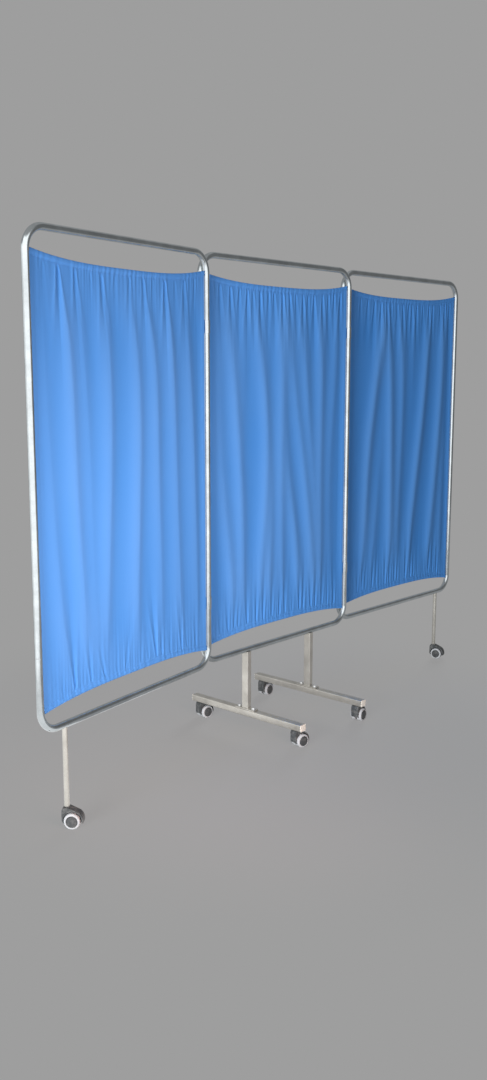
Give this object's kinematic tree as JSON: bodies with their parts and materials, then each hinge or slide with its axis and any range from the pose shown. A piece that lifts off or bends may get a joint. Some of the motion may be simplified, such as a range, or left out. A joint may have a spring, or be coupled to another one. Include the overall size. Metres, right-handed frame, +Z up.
{
  "type": "ward privacy screen",
  "caption": "Folding ward screen on castors: hinged round-tube frames with gathered fabric curtains, cross feet under the centre frame and a castored leg under each side frame.",
  "frame": {"origin": "on the floor under the middle of the whole screen as it stands part open", "axes": "+X along the centre frame towards the right side frame, +Y towards the back, +Z up; the pictured side faces -Y"},
  "size_m": [2.4866, 0.536, 1.711],
  "materials": {
    "polished_tube": "polished stainless tube",
    "satin_steel": "satin stainless",
    "zinc_steel": "bright zinc plate",
    "blue_cloth": "plain woven polyester",
    "white_cord": "braided cord",
    "dark_nylon": "moulded nylon",
    "pale_wheel": "moulded tread"
  },
  "bodies": {
    "centre_frame": {"centre_upper_frame": "polished_tube", "centre_lower_frame": "polished_tube", "centre_curtain": "blue_cloth", "centre_top_cord": "white_cord", "centre_bottom_cord": "white_cord", "left_upper_hinge_clip": "polished_tube", "left_lower_hinge_clip": "polished_tube", "right_upper_hinge_clip": "polished_tube", "right_lower_hinge_clip": "polished_tube", "left_post": "satin_steel", "right_post": "satin_steel", "left_foot": "satin_steel", "right_foot": "satin_steel", "left_front_bolt": "zinc_steel", "left_rear_bolt": "zinc_steel", "right_front_bolt": "zinc_steel", "right_rear_bolt": "zinc_steel", "left_foot_front_castor_stem": "zinc_steel", "left_foot_rear_castor_stem": "zinc_steel", "right_foot_front_castor_stem": "zinc_steel", "right_foot_rear_castor_stem": "zinc_steel"},
    "left_panel": {"left_upper_frame": "polished_tube", "left_lower_frame": "polished_tube", "left_curtain": "blue_cloth", "left_top_cord": "white_cord", "left_bottom_cord": "white_cord", "left_leg": "satin_steel", "left_leg_castor_stem": "zinc_steel"},
    "right_panel": {"right_upper_frame": "polished_tube", "right_lower_frame": "polished_tube", "right_curtain": "blue_cloth", "right_top_cord": "white_cord", "right_bottom_cord": "white_cord", "right_leg": "satin_steel", "right_leg_castor_stem": "zinc_steel"},
    "left_leg_castor": {"left_leg_castor_hood": "dark_nylon", "left_leg_castor_axle": "zinc_steel"},
    "left_leg_castor_wheel_a": {"left_leg_wheel_a": "pale_wheel"},
    "left_leg_castor_wheel_b": {"left_leg_wheel_b": "pale_wheel"},
    "right_leg_castor": {"right_leg_castor_hood": "dark_nylon", "right_leg_castor_axle": "zinc_steel"},
    "right_leg_castor_wheel_a": {"right_leg_wheel_a": "pale_wheel"},
    "right_leg_castor_wheel_b": {"right_leg_wheel_b": "pale_wheel"},
    "left_foot_front_castor": {"left_foot_front_castor_hood": "dark_nylon", "left_foot_front_castor_axle": "zinc_steel"},
    "left_foot_front_castor_wheel_a": {"left_foot_front_wheel_a": "pale_wheel"},
    "left_foot_front_castor_wheel_b": {"left_foot_front_wheel_b": "pale_wheel"},
    "left_foot_rear_castor": {"left_foot_rear_castor_hood": "dark_nylon", "left_foot_rear_castor_axle": "zinc_steel"},
    "left_foot_rear_castor_wheel_a": {"left_foot_rear_wheel_a": "pale_wheel"},
    "left_foot_rear_castor_wheel_b": {"left_foot_rear_wheel_b": "pale_wheel"},
    "right_foot_front_castor": {"right_foot_front_castor_hood": "dark_nylon", "right_foot_front_castor_axle": "zinc_steel"},
    "right_foot_front_castor_wheel_a": {"right_foot_front_wheel_a": "pale_wheel"},
    "right_foot_front_castor_wheel_b": {"right_foot_front_wheel_b": "pale_wheel"},
    "right_foot_rear_castor": {"right_foot_rear_castor_hood": "dark_nylon", "right_foot_rear_castor_axle": "zinc_steel"},
    "right_foot_rear_castor_wheel_a": {"right_foot_rear_wheel_a": "pale_wheel"},
    "right_foot_rear_castor_wheel_b": {"right_foot_rear_wheel_b": "pale_wheel"}
  },
  "joints": [
    {"name": "left_panel_hinge", "type": "hinge", "parent": "centre_frame", "child": "left_panel", "pos_m": [-0.41752, -0.0265, 1], "axis": [0, 0, 1], "range_deg": [-38, 171]},
    {"name": "right_panel_hinge", "type": "hinge", "parent": "centre_frame", "child": "right_panel", "pos_m": [0.40748, 0.0265, 1], "axis": [0, 0, 1], "range_deg": [-28, 181]},
    {"name": "left_leg_castor_swivel", "type": "hinge", "parent": "left_panel", "child": "left_leg_castor", "pos_m": [-1.13754, -0.14054, 0.063], "axis": [0, 0, 1], "continuous": true},
    {"name": "left_leg_castor_wheel_a_spin", "type": "hinge", "parent": "left_leg_castor", "child": "left_leg_castor_wheel_a", "pos_m": [-1.12671, -0.15492, 0.02452], "axis": [0.7986, 0.6018, 0], "continuous": true},
    {"name": "left_leg_castor_wheel_b_spin", "type": "hinge", "parent": "left_leg_castor", "child": "left_leg_castor_wheel_b", "pos_m": [-1.12671, -0.15492, 0.02452], "axis": [0.7986, 0.6018, 0], "continuous": true},
    {"name": "right_leg_castor_swivel", "type": "hinge", "parent": "right_panel", "child": "right_leg_castor", "pos_m": [1.13637, 0.01378, 0.063], "axis": [0, 0, 1], "continuous": true},
    {"name": "right_leg_castor_wheel_a_spin", "type": "hinge", "parent": "right_leg_castor", "child": "right_leg_castor_wheel_a", "pos_m": [1.14103, -0.00361, 0.02452], "axis": [0.9659, 0.2588, 0], "continuous": true},
    {"name": "right_leg_castor_wheel_b_spin", "type": "hinge", "parent": "right_leg_castor", "child": "right_leg_castor_wheel_b", "pos_m": [1.14103, -0.00361, 0.02452], "axis": [0.9659, 0.2588, 0], "continuous": true},
    {"name": "left_foot_front_castor_swivel", "type": "hinge", "parent": "centre_frame", "child": "left_foot_front_castor", "pos_m": [-0.18802, -0.235, 0.063], "axis": [0, 0, 1], "continuous": true},
    {"name": "left_foot_front_castor_wheel_a_spin", "type": "hinge", "parent": "left_foot_front_castor", "child": "left_foot_front_castor_wheel_a", "pos_m": [-0.17041, -0.23874, 0.02452], "axis": [0.2079, 0.9781, 0], "continuous": true},
    {"name": "left_foot_front_castor_wheel_b_spin", "type": "hinge", "parent": "left_foot_front_castor", "child": "left_foot_front_castor_wheel_b", "pos_m": [-0.17041, -0.23874, 0.02452], "axis": [0.2079, 0.9781, 0], "continuous": true},
    {"name": "left_foot_rear_castor_swivel", "type": "hinge", "parent": "centre_frame", "child": "left_foot_rear_castor", "pos_m": [-0.18802, 0.235, 0.063], "axis": [0, 0, 1], "continuous": true},
    {"name": "left_foot_rear_castor_wheel_a_spin", "type": "hinge", "parent": "left_foot_rear_castor", "child": "left_foot_rear_castor_wheel_a", "pos_m": [-0.17029, 0.23187, 0.02452], "axis": [0.1736, 0.9848, 0], "continuous": true},
    {"name": "left_foot_rear_castor_wheel_b_spin", "type": "hinge", "parent": "left_foot_rear_castor", "child": "left_foot_rear_castor_wheel_b", "pos_m": [-0.17029, 0.23187, 0.02452], "axis": [0.1736, 0.9848, 0], "continuous": true},
    {"name": "right_foot_front_castor_swivel", "type": "hinge", "parent": "centre_frame", "child": "right_foot_front_castor", "pos_m": [0.17798, -0.235, 0.063], "axis": [0, 0, 1], "continuous": true},
    {"name": "right_foot_front_castor_wheel_a_spin", "type": "hinge", "parent": "right_foot_front_castor", "child": "right_foot_front_castor_wheel_a", "pos_m": [0.19589, -0.23312, 0.02452], "axis": [-0.1045, 0.9945, 0], "continuous": true},
    {"name": "right_foot_front_castor_wheel_b_spin", "type": "hinge", "parent": "right_foot_front_castor", "child": "right_foot_front_castor_wheel_b", "pos_m": [0.19589, -0.23312, 0.02452], "axis": [-0.1045, 0.9945, 0], "continuous": true},
    {"name": "right_foot_rear_castor_swivel", "type": "hinge", "parent": "centre_frame", "child": "right_foot_rear_castor", "pos_m": [0.17798, 0.235, 0.063], "axis": [0, 0, 1], "continuous": true},
    {"name": "right_foot_rear_castor_wheel_a_spin", "type": "hinge", "parent": "right_foot_rear_castor", "child": "right_foot_rear_castor_wheel_a", "pos_m": [0.19596, 0.23594, 0.02452], "axis": [-0.0523, 0.9986, 0], "continuous": true},
    {"name": "right_foot_rear_castor_wheel_b_spin", "type": "hinge", "parent": "right_foot_rear_castor", "child": "right_foot_rear_castor_wheel_b", "pos_m": [0.19596, 0.23594, 0.02452], "axis": [-0.0523, 0.9986, 0], "continuous": true}
  ]
}
